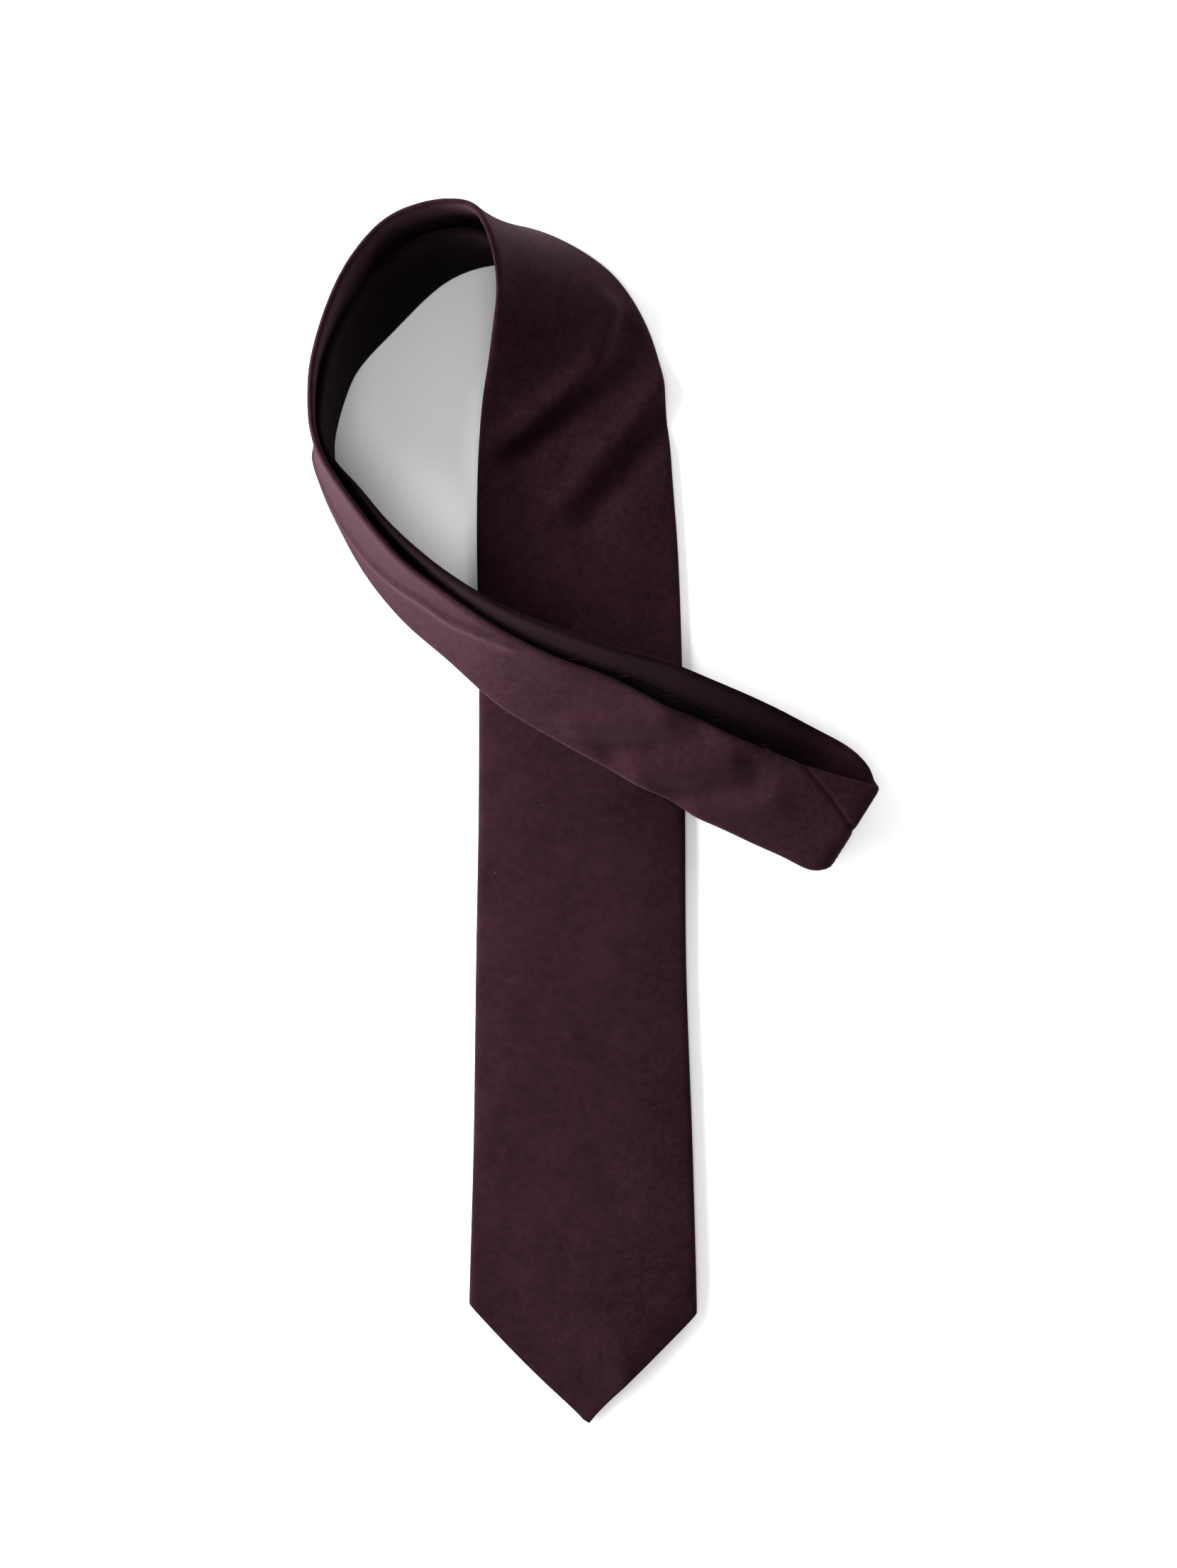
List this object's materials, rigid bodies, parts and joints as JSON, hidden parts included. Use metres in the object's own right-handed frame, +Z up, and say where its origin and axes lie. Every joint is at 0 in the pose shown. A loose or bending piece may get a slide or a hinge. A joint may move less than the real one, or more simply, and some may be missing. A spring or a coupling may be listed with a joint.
{
  "type": "necktie",
  "caption": "Long necktie laid out folded in half, its doubled neck end curled into an open loop that crosses over the wide blade; the blade's tip lifts.",
  "frame": {"origin": "centre of the laid-out tie's box on the surface it lies on", "axes": "+Y from the wide tip towards the looped end, +X to the right with the wide blade's point nearest the viewer, +Z up"},
  "size_m": [0.1975, 0.4203, 0.0512],
  "materials": {
    "shell_cloth": "dark aubergine woven cloth, matte with a faint sheen",
    "tipping_cloth": "smooth lining cloth, tone on tone",
    "interlining_wool": "brushed undyed wool",
    "sewing_thread": "matte sewing thread"
  },
  "bodies": {
    "tie": {"blade_shell": "shell_cloth", "neck_shell": "shell_cloth", "tail_shell": "shell_cloth", "keeper_loop": "shell_cloth", "tail_tipping": "tipping_cloth", "interlining_blade": "interlining_wool", "interlining_tail": "interlining_wool", "slip_stitch": "sewing_thread", "tail_bar_tack": "sewing_thread", "tail_thread_loop": "sewing_thread", "keeper_tack_left": "sewing_thread", "keeper_tack_right": "sewing_thread"},
    "blade_end": {"blade_shell_end": "shell_cloth", "interlining_end": "interlining_wool", "blade_tipping": "tipping_cloth", "slip_stitch_end": "sewing_thread", "blade_bar_tack": "sewing_thread", "blade_thread_loop": "sewing_thread"}
  },
  "joints": [
    {"name": "blade_lift", "type": "hinge", "parent": "tie", "child": "blade_end", "pos_m": [0, -0.0358, 0.0057], "axis": [-1, 0, 0], "range_deg": [0, 90]}
  ]
}
